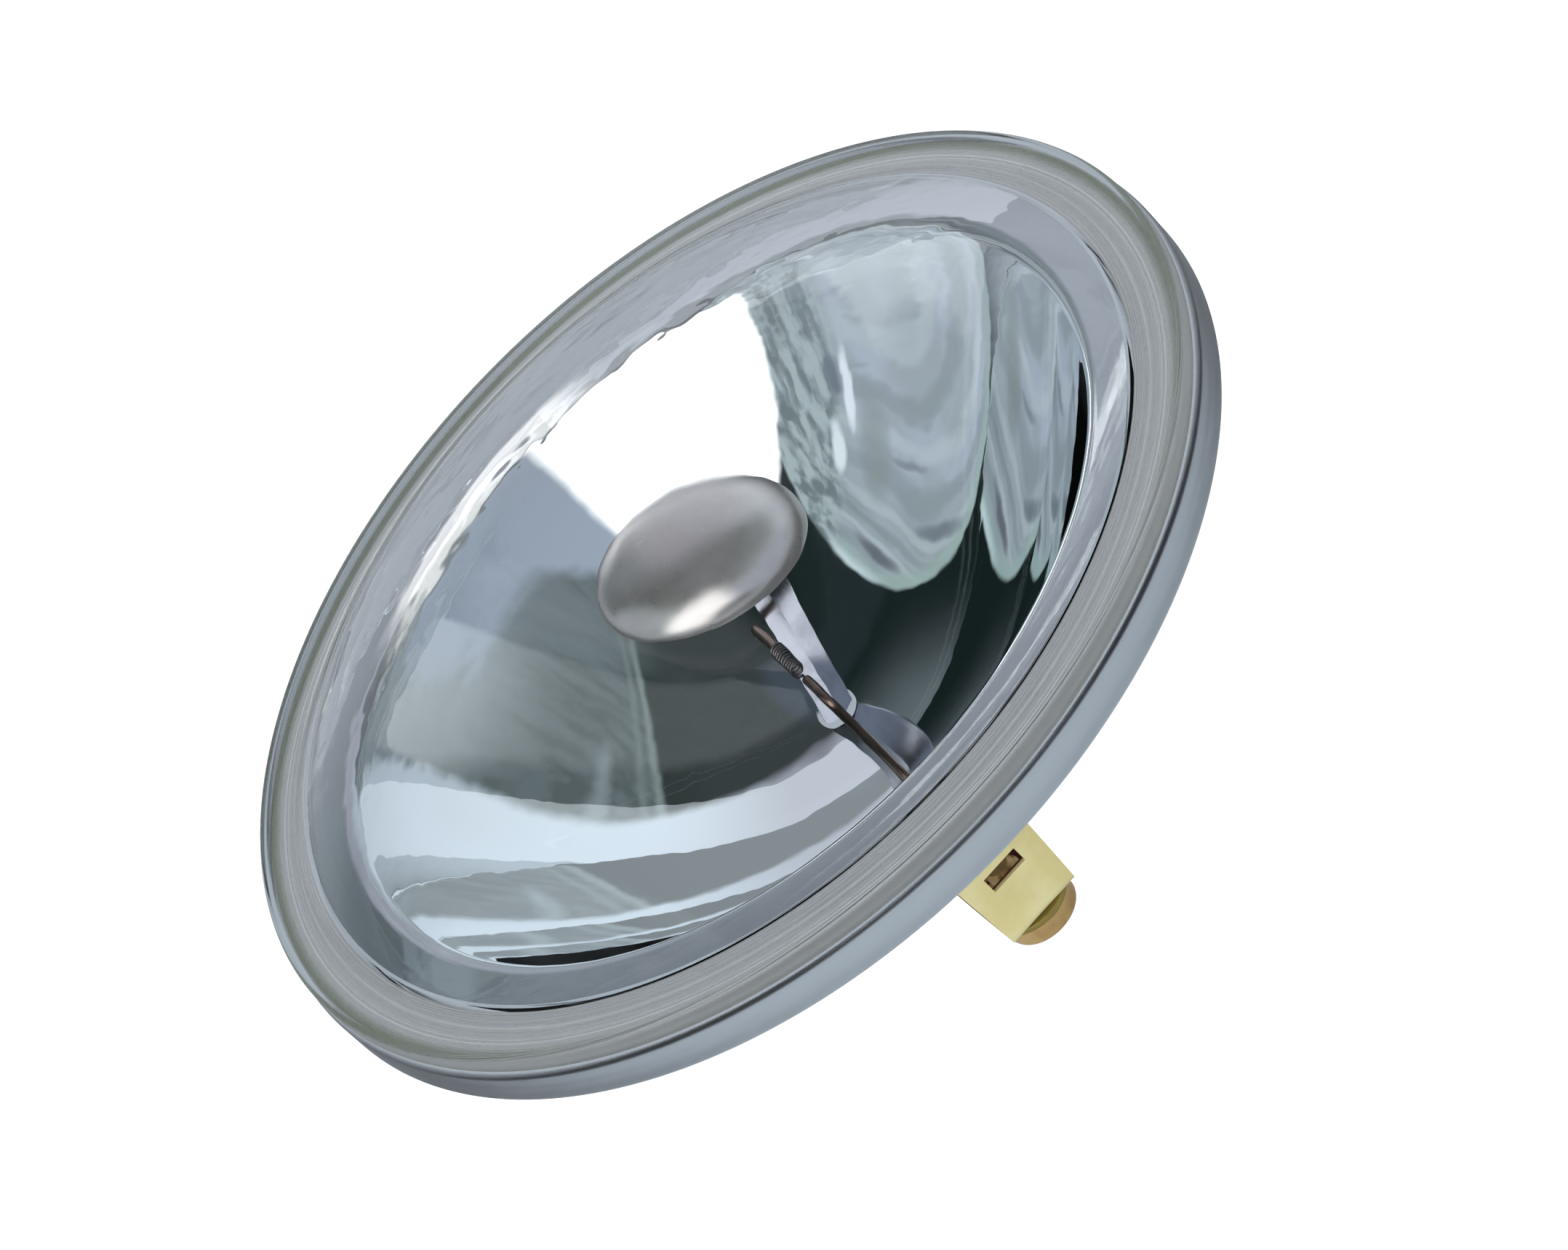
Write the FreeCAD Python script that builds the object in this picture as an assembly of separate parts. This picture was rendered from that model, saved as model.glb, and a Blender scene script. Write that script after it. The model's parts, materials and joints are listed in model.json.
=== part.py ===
import FreeCAD, Part
import math
import os

# Sealed-beam spotlight lamp: a clear domed lens fused to a mirrored glass bowl,
# with a shielded filament inside and two screw terminals on the back.
# Millimetres. +Z is the beam direction. The origin is the centre of the fused seam
# between lens and bowl. The two leads, ferrules and terminals lie along Y.

# Rim
rim_radius = 56.35
lens_edge_setback = 0.35
bowl_flange_thickness = 4.3
lens_flange_thickness = 2.5
bowl_edge_round = 0.6
lens_edge_round = 0.7

# Lens
front_seat_width = 4.8
lens_dome_sphere_radius = 94.0
lens_glass = 3.5
lens_root_fillet = 1.6

# Mirror
mirror_aperture_radius = 44.0
mirror_focal_length = 16.7
mirror_lip_width = 0.6
mirror_film = 0.12
mirror_film_lens_gap = 0.13

# Bowl
bowl_glass = 4.0
bowl_root_fillet = 2.0
heel_glass = 4.1
heel_radius = 14.6
heel_fillet = 1.5
heel_edge_round = 1.0
tip_base_radius = 3.2
tip_end_radius = 1.1
tip_length = 5.2
tip_fillet = 1.0

# Ferrules in the back of the bowl
terminal_offset = 9.4
boss_radius = 5.2
boss_height = 1.4
boss_edge_round = 0.5
lead_hole_radius = 2.2
ferrule_outer_radius = 3.4
ferrule_wall = 0.4
ferrule_floor_thickness = 0.5
ferrule_corner_round = 0.35
ferrule_exposed_height = 2.0
ferrule_embedded_depth = 1.2
solder_ring_width = 0.6
solder_ring_height = 0.8

# Leads and filament
lead_radius = 0.5
lead_bend_radius = 1.5
coil_radius = 0.7
coil_wire_radius = 0.14
coil_pitch = 0.56
coil_turns = 10
coil_tail_length = 1.0

# Shield in front of the filament
shield_radius = 11.1
shield_height = 5.4
shield_sheet = 0.3
shield_crown_gap = 6.2
shield_offset_x = 1.1
shield_tilt_deg = 12.5
arm_sheet = 0.35
arm_base_width = 3.5
arm_top_width = 5.0
arm_crease_depth = 1.0
arm_foot_above_mirror = 0.8
arm_top_above_opening = 1.2
arm_side_angle_deg = 34.0
arm_weld_gap = 0.05
arm_lead_gap = 0.35
arm_nugget_radius = 0.45
arm_nugget_height = 0.9

# Screw terminals
strip_thickness = 0.8
strip_bend_radius = 0.6
terminal_depth = 8.6
terminal_height = 10.8
terminal_width_at_foot = 10.1
terminal_width_at_head = 9.0
free_end_gap = 2.2
terminal_turn_deg = 3.5
window_width = 4.45
window_height = 2.1
window_above_foot = 3.1
thread_collar_radius = 3.0
thread_collar_height = 1.2

# Screws and washers
screw_radius = 2.08
screw_length = 6.4
thread_clearance = 0.07
washer_outer_radius = 4.3
washer_thickness = 0.7
washer_hole_clearance = 0.2
head_radius = 4.25
head_height = 2.4
head_round = 0.9
drive_slot_width = 1.2
drive_slot_depth = 1.1
screw_point_chamfer = 0.4

# Radii and heights worked out from the sizes above
lens_edge_radius = rim_radius - lens_edge_setback
lens_dome_foot_radius = lens_edge_radius - front_seat_width
lens_dome_drop = math.sqrt(lens_dome_sphere_radius ** 2 - lens_dome_foot_radius ** 2)
lens_dome_centre_z = lens_flange_thickness - lens_dome_drop
lens_crown_inside_z = lens_dome_centre_z + lens_dome_sphere_radius - lens_glass
shield_opening_z = lens_crown_inside_z - shield_crown_gap - shield_height
mirror_depth = mirror_aperture_radius ** 2 / (4 * mirror_focal_length)
mirror_vertex_z = -mirror_depth
mirror_lip_foot_radius = mirror_aperture_radius - mirror_lip_width
mirror_lip_foot_z = mirror_vertex_z + mirror_lip_foot_radius ** 2 / (4 * mirror_focal_length)
focus_z = mirror_vertex_z + mirror_focal_length
heel_z = mirror_vertex_z - heel_glass
boss_end_z = heel_z - boss_height
ferrule_floor_z = boss_end_z - ferrule_exposed_height
terminal_rear_z = ferrule_floor_z - terminal_height
washer_rear_z = terminal_rear_z - washer_thickness
thread_hole_radius = screw_radius + thread_clearance

Z_AXIS = FreeCAD.Vector(0, 0, 1)
FULL_TURN = 360.0
# Two lengths nearer to each other than this are the same length
SAME_LENGTH = 0.001
# How far the middle poles of a four-pole curve reach to make it a quarter round
ROUND_PULL = 4 / 3 * (math.sqrt(2) - 1)


def at(radius, z):
    """A point of a profile in the XZ half plane."""
    return FreeCAD.Vector(radius, 0, z)


def line(start, end):
    return Part.LineSegment(start, end).toShape()


def bezier(*poles):
    """A curve through its end poles, pulled towards the poles between them."""
    curve = Part.BezierCurve()
    curve.setPoles(list(poles))
    return curve.toShape()


def parabola(vertex_z, focal_length, start_radius, end_radius):
    """The stretch of a parabola about the beam axis between two radii.

    Such a stretch is exactly a curve of three poles. The middle pole lies half
    way between the radii, on the tangent at either end.
    """
    start_z = vertex_z + start_radius ** 2 / (4 * focal_length)
    end_z = vertex_z + end_radius ** 2 / (4 * focal_length)
    start_slope = start_radius / (2 * focal_length)
    half_step = (end_radius - start_radius) / 2
    middle = at(start_radius + half_step, start_z + start_slope * half_step)
    return bezier(at(start_radius, start_z), middle, at(end_radius, end_z))


def mirror_curve(vertex_z, foot_radius, land_z, land_radius):
    """Profile of the mirror: a parabola, a rounded lip and the flat land round it."""
    focal_length = foot_radius ** 2 / (4 * (mirror_lip_foot_z - vertex_z))
    rise = foot_radius / (2 * focal_length)
    foot = at(foot_radius, mirror_lip_foot_z)
    corner = at(foot_radius + (land_z - mirror_lip_foot_z) / rise, land_z)
    land_start = corner + at(foot.distanceToPoint(corner), 0)
    return [
        parabola(vertex_z, focal_length, 0, foot_radius),
        bezier(foot, corner, land_start),
        line(land_start, at(land_radius, land_z)),
    ]


def quarter_round(start, corner, end):
    """Quarter of a circle that replaces a square corner of a profile."""
    centre = start + end - corner
    middle = centre + (corner - centre) * math.sqrt(0.5)
    return Part.Arc(start, middle, end).toShape()


def revolve(edges):
    """Turn a closed profile round the beam axis into a solid."""
    face = Part.Face(Part.Wire(Part.__sortEdges__(edges)))
    solid = face.revolve(FreeCAD.Vector(0, 0, 0), Z_AXIS, FULL_TURN)
    return Part.Solid(solid) if solid.ShapeType == "Shell" else solid


def disc(radius, low_z, high_z, y=0.0):
    """A cylinder along the beam direction, centred at y."""
    return Part.makeCylinder(radius, high_z - low_z, FreeCAD.Vector(0, y, low_z), Z_AXIS)


def block(size_x, low_y, high_y, low_z, high_z):
    """A box centred on X."""
    corner = FreeCAD.Vector(-size_x / 2, low_y, low_z)
    return Part.makeBox(size_x, high_y - low_y, high_z - low_z, corner)


def round_circles(shape, amount, wanted):
    """Round the circular edges whose (radius, z) are in the wanted list."""
    edges = []
    for edge in shape.Edges:
        if edge.Degenerated or not isinstance(edge.Curve, Part.Circle):
            continue
        for radius, z in wanted:
            same_radius = abs(edge.Curve.Radius - radius) < SAME_LENGTH
            same_height = abs(edge.Curve.Center.z - z) < SAME_LENGTH
            if same_radius and same_height:
                edges.append(edge)
    return shape.makeFillet(amount, edges)


def bowl_inner_radius_at(z):
    return math.sqrt(4 * mirror_focal_length * (z - mirror_vertex_z))


def bowl_back():
    """The bowl's outer profile, from the flange in to the heel."""
    flange_z = -bowl_flange_thickness
    inner_radius = bowl_inner_radius_at(flange_z)
    wall_slope = math.atan(inner_radius / (2 * mirror_focal_length))
    root_radius = inner_radius + bowl_glass / math.sin(wall_slope)
    vertex_z = mirror_vertex_z - bowl_glass
    focal_length = root_radius ** 2 / (4 * (flange_z - vertex_z))

    top_radius = root_radius - bowl_root_fillet
    top_z = vertex_z + top_radius ** 2 / (4 * focal_length)
    top_slope = top_radius / (2 * focal_length)
    root_corner_radius = top_radius + (flange_z - top_z) / top_slope
    low_radius = heel_radius + heel_fillet
    low_z = vertex_z + low_radius ** 2 / (4 * focal_length)
    low_slope = low_radius / (2 * focal_length)
    heel_corner_z = low_z - heel_fillet * low_slope

    return [
        bezier(
            at(root_corner_radius + bowl_root_fillet, flange_z),
            at(root_corner_radius, flange_z),
            at(top_radius, top_z),
        ),
        parabola(vertex_z, focal_length, low_radius, top_radius),
        bezier(
            at(low_radius, low_z),
            at(heel_radius, heel_corner_z),
            at(heel_radius, heel_corner_z - heel_fillet),
        ),
        line(at(heel_radius, heel_corner_z - heel_fillet), at(heel_radius, heel_z + heel_edge_round)),
        line(
            at(root_corner_radius + bowl_root_fillet, flange_z),
            at(rim_radius - bowl_edge_round, flange_z),
        ),
    ]


def heel_and_tip():
    """The flat heel and the closed end of the tube through which the lamp was pumped out."""
    tip_end_z = heel_z - tip_length
    return [
        quarter_round(
            at(heel_radius, heel_z + heel_edge_round),
            at(heel_radius, heel_z),
            at(heel_radius - heel_edge_round, heel_z),
        ),
        line(at(heel_radius - heel_edge_round, heel_z), at(tip_base_radius + tip_fillet, heel_z)),
        quarter_round(
            at(tip_base_radius + tip_fillet, heel_z),
            at(tip_base_radius, heel_z),
            at(tip_base_radius, heel_z - tip_fillet),
        ),
        bezier(
            at(tip_base_radius, heel_z - tip_fillet),
            at(tip_base_radius, heel_z - tip_length / 2),
            at(tip_end_radius, tip_end_z),
            at(0, tip_end_z),
        ),
        line(at(0, tip_end_z), at(0, mirror_vertex_z)),
    ]


def bowl_front():
    """The mirror's curve, the flat land with the seam and the rim."""
    rim_in = rim_radius - bowl_edge_round
    rim_low = -bowl_flange_thickness + bowl_edge_round
    return mirror_curve(mirror_vertex_z, mirror_lip_foot_radius, 0, rim_in) + [
        quarter_round(at(rim_in, 0), at(rim_radius, 0), at(rim_radius, -bowl_edge_round)),
        line(at(rim_radius, -bowl_edge_round), at(rim_radius, rim_low)),
        quarter_round(
            at(rim_radius, rim_low),
            at(rim_radius, -bowl_flange_thickness),
            at(rim_in, -bowl_flange_thickness),
        ),
    ]


def make_bowl():
    """Pressed glass bowl with its flange, heel, ferrule bosses and sealed-off tip."""
    bowl = revolve(bowl_back() + heel_and_tip() + bowl_front())
    for side in (-1, 1):
        bowl = bowl.fuse(make_boss(side))
    for side in (-1, 1):
        bowl = bowl.cut(disc(lead_hole_radius, boss_end_z, 0, side * terminal_offset))
        bowl = bowl.cut(make_ferrule(side))
    return bowl.removeSplitter()


def make_boss(side):
    """Glass boss that carries a ferrule."""
    boss = disc(boss_radius, boss_end_z, heel_z + boss_height)
    boss = round_circles(boss, boss_edge_round, [(boss_radius, boss_end_z)])
    boss.translate(FreeCAD.Vector(0, side * terminal_offset, 0))
    return boss


def make_mirror():
    """The bright film of metal on the inside of the bowl and on the land inside the lens."""
    film_top_z = mirror_film
    lens_inside_radius = lens_dome_sphere_radius - lens_glass
    lens_edge_at_film = math.sqrt(lens_inside_radius ** 2 - (film_top_z - lens_dome_centre_z) ** 2)
    film_edge = lens_edge_at_film - mirror_film_lens_gap
    glass_side = mirror_curve(mirror_vertex_z, mirror_lip_foot_radius, 0, film_edge)
    bright_side = mirror_curve(
        mirror_vertex_z + mirror_film,
        mirror_lip_foot_radius - mirror_film,
        film_top_z,
        film_edge,
    )
    ends = [
        line(at(film_edge, 0), at(film_edge, film_top_z)),
        line(at(0, mirror_vertex_z + mirror_film), at(0, mirror_vertex_z)),
    ]
    mirror = revolve(glass_side + bright_side + ends)
    for side in (-1, 1):
        y = side * terminal_offset
        mirror = mirror.cut(disc(lead_hole_radius, heel_z, 0, y))
    return mirror


def make_lens():
    """Clear pressed lens: a flat flange and an even dome."""
    centre = FreeCAD.Vector(0, 0, lens_dome_centre_z)
    outer = Part.makeSphere(lens_dome_sphere_radius, centre)
    inner = Part.makeSphere(lens_dome_sphere_radius - lens_glass, centre)
    above_seam = disc(lens_edge_radius, 0, lens_dome_sphere_radius)

    flange = disc(lens_edge_radius, 0, lens_flange_thickness)
    lens = flange.fuse(outer.common(above_seam)).removeSplitter()
    foot = [(lens_dome_foot_radius, lens_flange_thickness)]
    lens = round_circles(lens, lens_root_fillet, foot)
    edges = [(lens_edge_radius, 0), (lens_edge_radius, lens_flange_thickness)]
    lens = round_circles(lens, lens_edge_round, edges)
    return lens.cut(inner)


def make_ferrule(side):
    """Metal thimble fused into the glass, closed at its outer end."""
    rim_z = boss_end_z + ferrule_embedded_depth
    outside = disc(ferrule_outer_radius, ferrule_floor_z, rim_z)
    corner = [(ferrule_outer_radius, ferrule_floor_z)]
    outside = round_circles(outside, ferrule_corner_round, corner)
    inner_radius = ferrule_outer_radius - ferrule_wall
    inside = disc(inner_radius, ferrule_floor_z + ferrule_floor_thickness, rim_z)
    ferrule = outside.cut(inside)
    ferrule.translate(FreeCAD.Vector(0, side * terminal_offset, 0))
    return ferrule


def make_solder(side):
    """Ring of solder between a ferrule and the foot of its terminal."""
    inner = ferrule_outer_radius
    low = ferrule_floor_z
    outer = inner + solder_ring_width
    top = low + solder_ring_height
    ring = revolve([
        line(at(inner - ferrule_corner_round, low), at(outer, low)),
        line(at(outer, low), at(inner, top)),
        line(at(inner, top), at(inner - ferrule_corner_round, top)),
        line(at(inner - ferrule_corner_round, top), at(inner - ferrule_corner_round, low)),
    ])
    ring.translate(FreeCAD.Vector(0, side * terminal_offset, 0))
    return ring.cut(make_ferrule(side))


def make_lead(side):
    """Stiff wire from the floor of a ferrule up to one end of the filament."""
    foot_z = ferrule_floor_z + ferrule_floor_thickness
    tip_z = focus_z - coil_radius
    tip_y = coil_turns * coil_pitch / 2 + coil_tail_length
    bend_y = terminal_offset - lead_bend_radius
    bend_z = tip_z - lead_bend_radius
    half = lead_bend_radius * math.sqrt(0.5)

    def there(y, z):
        return FreeCAD.Vector(0, side * y, z)

    path = Part.Wire([
        line(there(terminal_offset, foot_z), there(terminal_offset, bend_z)),
        Part.Arc(
            there(terminal_offset, bend_z),
            there(bend_y + half, bend_z + half),
            there(bend_y, tip_z),
        ).toShape(),
        line(there(bend_y, tip_z), there(tip_y, tip_z)),
    ])
    section = Part.Wire(Part.makeCircle(lead_radius, there(terminal_offset, foot_z), Z_AXIS))
    return path.makePipeShell([section], True, True)


def make_filament():
    """Coiled wire across the focus of the mirror, with a short tail at each end."""
    length = coil_turns * coil_pitch
    helix = Part.makeHelix(coil_pitch, length, coil_radius)
    start = FreeCAD.Vector(coil_radius, 0, 0)
    section = Part.Wire(Part.makeCircle(coil_wire_radius, start, FreeCAD.Vector(0, 1, 0)))
    coil = Part.Wire(helix.Edges).makePipeShell([section], True, True)
    parts = [coil]
    for low in (-coil_tail_length, length):
        tail = Part.makeCylinder(coil_wire_radius, coil_tail_length, FreeCAD.Vector(coil_radius, 0, low))
        parts.append(tail)
    filament = parts[0].fuse(parts[1:])
    filament.translate(FreeCAD.Vector(0, 0, -length / 2))
    filament.rotate(FreeCAD.Vector(0, 0, 0), Z_AXIS, 90)
    filament.rotate(FreeCAD.Vector(0, 0, 0), FreeCAD.Vector(1, 0, 0), -90)
    filament.translate(FreeCAD.Vector(0, 0, focus_z))
    return filament


def tilt_shield(shape):
    """Lean a piece with the shield, which stands a little crooked in the lamp."""
    shape.rotate(FreeCAD.Vector(0, 0, shield_opening_z), FreeCAD.Vector(0, 1, 0), shield_tilt_deg)
    shape.translate(FreeCAD.Vector(shield_offset_x, 0, 0))
    return shape


def dome_profile(radius, height):
    """Quarter of an ellipse from the opening's edge up to the crown."""
    low = shield_opening_z
    crown = low + height
    return bezier(
        at(radius, low),
        at(radius, low + height * ROUND_PULL),
        at(radius * ROUND_PULL, crown),
        at(0, crown),
    )


def make_shield():
    """Domed metal cap that hides the filament from the front."""
    crown = shield_opening_z + shield_height
    inner_radius = shield_radius - shield_sheet
    shield = revolve([
        dome_profile(shield_radius, shield_height),
        dome_profile(inner_radius, shield_height - shield_sheet),
        line(at(inner_radius, shield_opening_z), at(shield_radius, shield_opening_z)),
        line(at(0, crown - shield_sheet), at(0, crown)),
    ])
    return tilt_shield(shield)


def creased_section(centre, along, out, width):
    """Closed section of a strip with a crease down its middle."""
    half = width / 2
    crest = arm_crease_depth
    points = [
        centre - along * half,
        centre - out * crest,
        centre + along * half,
        centre + along * half + out * arm_sheet,
        centre - out * (crest - arm_sheet),
        centre - along * half + out * arm_sheet,
    ]
    return Part.makePolygon(points + points[:1])


def make_arm():
    """Tapered strip that carries the shield, welded to the foot of one lead."""
    base_y = terminal_offset - lead_radius - arm_lead_gap - arm_sheet
    base_z = mirror_vertex_z + base_y ** 2 / (4 * mirror_focal_length) + arm_foot_above_mirror
    base = creased_section(
        FreeCAD.Vector(0, base_y, base_z),
        FreeCAD.Vector(1, 0, 0),
        FreeCAD.Vector(0, 1, 0),
        arm_base_width,
    )

    angle = math.radians(90 - arm_side_angle_deg)
    out = FreeCAD.Vector(math.cos(angle), math.sin(angle), 0)
    along = FreeCAD.Vector(out.y, -out.x, 0)
    height_share = arm_top_above_opening / (shield_height - shield_sheet)
    bore = (shield_radius - shield_sheet) * math.sqrt(1 - height_share ** 2) - arm_weld_gap
    reach = math.sqrt(bore ** 2 - (arm_top_width / 2) ** 2) - arm_sheet
    top = creased_section(
        out * reach + FreeCAD.Vector(0, 0, shield_opening_z + arm_top_above_opening),
        along,
        out,
        arm_top_width,
    )
    strip = Part.makeLoft([base, tilt_shield(top)], True, True)
    crest_y = base_y - arm_crease_depth + arm_sheet / 2
    nugget = Part.makeCylinder(
        arm_nugget_radius,
        terminal_offset - crest_y,
        FreeCAD.Vector(0, crest_y, base_z + arm_nugget_height),
        FreeCAD.Vector(0, 1, 0),
    )
    return strip.fuse(nugget.cut(make_lead(1)))


def make_terminal(side):
    """Brass strip folded into a box, with a window and a tapped rear wall."""
    low_y = terminal_offset - terminal_depth / 2
    high_y = terminal_offset + terminal_depth / 2
    outer_bend = strip_bend_radius + strip_thickness
    width = terminal_width_at_foot

    outside = block(width, low_y, high_y, terminal_rear_z, ferrule_floor_z)
    bends = [e for e in outside.Edges if abs(e.BoundBox.XLength - width) < SAME_LENGTH]
    outside = outside.makeFillet(outer_bend, bends)
    inside = block(
        width,
        low_y + strip_thickness,
        high_y - strip_thickness,
        terminal_rear_z + strip_thickness,
        ferrule_floor_z - strip_thickness,
    )
    bends = [e for e in inside.Edges if abs(e.BoundBox.XLength - width) < SAME_LENGTH]
    inside = inside.makeFillet(strip_bend_radius, bends)
    strip = outside.cut(inside)

    foot_top_z = ferrule_floor_z - strip_thickness
    free_end = block(width, low_y, low_y + outer_bend, foot_top_z - free_end_gap, ferrule_floor_z)
    strip = strip.cut(free_end)

    collar_top_z = terminal_rear_z + strip_thickness + thread_collar_height
    collar = disc(thread_collar_radius, terminal_rear_z + strip_thickness / 2, collar_top_z, terminal_offset)
    strip = strip.fuse(collar)
    strip = strip.cut(disc(thread_hole_radius, terminal_rear_z, collar_top_z, terminal_offset))

    window_low_z = foot_top_z - window_above_foot
    window = block(
        window_width,
        high_y - strip_thickness,
        high_y,
        window_low_z,
        window_low_z + window_height,
    )
    strip = strip.cut(window)

    taper = Part.Face(Part.makePolygon([
        FreeCAD.Vector(-terminal_width_at_foot / 2, low_y, ferrule_floor_z),
        FreeCAD.Vector(terminal_width_at_foot / 2, low_y, ferrule_floor_z),
        FreeCAD.Vector(terminal_width_at_head / 2, low_y, terminal_rear_z),
        FreeCAD.Vector(-terminal_width_at_head / 2, low_y, terminal_rear_z),
        FreeCAD.Vector(-terminal_width_at_foot / 2, low_y, ferrule_floor_z),
    ]))
    strip = strip.common(taper.extrude(FreeCAD.Vector(0, terminal_depth, 0)))
    return place_on_side(strip.removeSplitter(), side)


def place_on_side(shape, side):
    """Turn a terminal made on the +Y side to its own side, a little askew as soldered."""
    shape.rotate(FreeCAD.Vector(0, terminal_offset, 0), Z_AXIS, terminal_turn_deg)
    if side < 0:
        shape.rotate(FreeCAD.Vector(0, 0, 0), Z_AXIS, 180)
    return shape


def make_washer(side):
    """Plain washer under a screw head."""
    washer = disc(washer_outer_radius, washer_rear_z, terminal_rear_z)
    hole_radius = screw_radius + washer_hole_clearance
    washer = washer.cut(disc(hole_radius, washer_rear_z, terminal_rear_z))
    washer.translate(FreeCAD.Vector(0, side * terminal_offset, 0))
    return washer


def make_screw(side):
    """Slotted screw that clamps a wire on the terminal."""
    head_rear_z = washer_rear_z - head_height
    head = disc(head_radius, head_rear_z, washer_rear_z)
    head = round_circles(head, head_round, [(head_radius, head_rear_z)])
    slot = block(
        drive_slot_width,
        -head_radius,
        head_radius,
        head_rear_z,
        head_rear_z + drive_slot_depth,
    )
    head = head.cut(slot)
    point_z = washer_rear_z + screw_length
    shank = disc(screw_radius, washer_rear_z, point_z)
    point = [e for e in shank.Edges if abs(e.BoundBox.ZMin - point_z) < SAME_LENGTH]
    shank = shank.makeChamfer(screw_point_chamfer, point)
    screw = head.fuse(shank)
    screw.translate(FreeCAD.Vector(0, side * terminal_offset, 0))
    return screw


def main():
    pieces = {
        "lens": make_lens(),
        "reflector_bowl": make_bowl(),
        "mirror_film": make_mirror(),
        "filament": make_filament(),
        "filament_shield": make_shield(),
        "shield_arm": make_arm(),
    }
    for name, side in (("near", -1), ("far", 1)):
        pieces["ferrule_" + name] = make_ferrule(side)
        pieces["solder_" + name] = make_solder(side)
        pieces["lead_" + name] = make_lead(side)
        pieces["terminal_" + name] = make_terminal(side)
        pieces["washer_" + name] = make_washer(side)
        pieces["screw_" + name] = make_screw(side)

    os.makedirs("parts", exist_ok=True)
    for node, shape in pieces.items():
        solid = shape.Solids[0]
        print(node, "solids", len(shape.Solids), "valid", solid.isValid(), "volume %.2f" % solid.Volume)
        solid.exportStep("parts/" + node + ".step")


main()
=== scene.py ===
# %% [markdown]
# # A sealed-beam spotlight lamp
# A lamp like this is mostly glass. A clear domed lens is fused to a deep glass bowl, the
# inside of the bowl is a mirror, and a small metal cap hides the filament. Behind it sit
# two folded brass terminals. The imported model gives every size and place, so the first
# step is to load it. What follows only adds surfaces and finishes to it.

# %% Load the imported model
import json
import math

import bmesh
import bpy
from mathutils import Matrix, Vector

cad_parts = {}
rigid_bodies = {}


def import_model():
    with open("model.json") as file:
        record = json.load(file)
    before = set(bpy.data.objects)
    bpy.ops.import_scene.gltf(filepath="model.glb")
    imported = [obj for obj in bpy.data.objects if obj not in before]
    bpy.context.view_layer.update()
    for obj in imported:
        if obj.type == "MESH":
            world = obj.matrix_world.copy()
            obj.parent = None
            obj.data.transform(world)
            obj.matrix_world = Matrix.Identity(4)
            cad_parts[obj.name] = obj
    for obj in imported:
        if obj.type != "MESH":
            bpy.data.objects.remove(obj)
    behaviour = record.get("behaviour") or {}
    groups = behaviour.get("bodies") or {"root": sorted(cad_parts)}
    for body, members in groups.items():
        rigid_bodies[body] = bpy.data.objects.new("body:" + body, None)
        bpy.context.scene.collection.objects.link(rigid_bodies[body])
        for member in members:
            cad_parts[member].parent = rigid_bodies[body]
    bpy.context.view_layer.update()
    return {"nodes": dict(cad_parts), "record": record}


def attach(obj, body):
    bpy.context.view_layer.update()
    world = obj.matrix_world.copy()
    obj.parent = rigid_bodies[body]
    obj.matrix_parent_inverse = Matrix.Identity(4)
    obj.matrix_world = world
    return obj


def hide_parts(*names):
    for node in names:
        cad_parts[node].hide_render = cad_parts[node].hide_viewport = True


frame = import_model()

MM = 0.001
print("CAD nodes", sorted(frame["nodes"]))

# %% [markdown]
# ## Formulas in a node tree
# Shader maths soon turns into a tangle of Math nodes. It reads better as a formula, so a
# small class wraps a socket and adds the node for each sign. Every other node comes from
# one method, which first makes the settings and then fills the sockets.


# %% A socket that can be used in a formula
class Wire:
    def __init__(self, sheet, socket):
        self.sheet = sheet
        self.socket = socket

    def maths(self, operation, first, second=0.0):
        inputs = {0: first, 1: second}
        return self.sheet.node("ShaderNodeMath", {"operation": operation}, inputs)

    def __add__(self, other):
        return self.maths("ADD", self, other)

    __radd__ = __add__

    def __sub__(self, other):
        return self.maths("SUBTRACT", self, other)

    def __rsub__(self, other):
        return self.maths("SUBTRACT", other, self)

    def __mul__(self, other):
        return self.maths("MULTIPLY", self, other)

    __rmul__ = __mul__

    def __truediv__(self, other):
        return self.maths("DIVIDE", self, other)

    def __pow__(self, other):
        return self.maths("POWER", self, other)

    def least(self, other):
        return self.maths("MINIMUM", self, other)

    def most(self, other):
        return self.maths("MAXIMUM", self, other)

    def size(self):
        return self.maths("ABSOLUTE", self)

    def wave(self):
        return self.maths("SINE", self)

    def rise(self, low, high):
        """0 below low, 1 above high and a soft slope between."""
        settings = {"interpolation_type": "SMOOTHSTEP"}
        inputs = {"Value": self, "From Min": low, "From Max": high}
        return self.sheet.node("ShaderNodeMapRange", settings, inputs)


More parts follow.
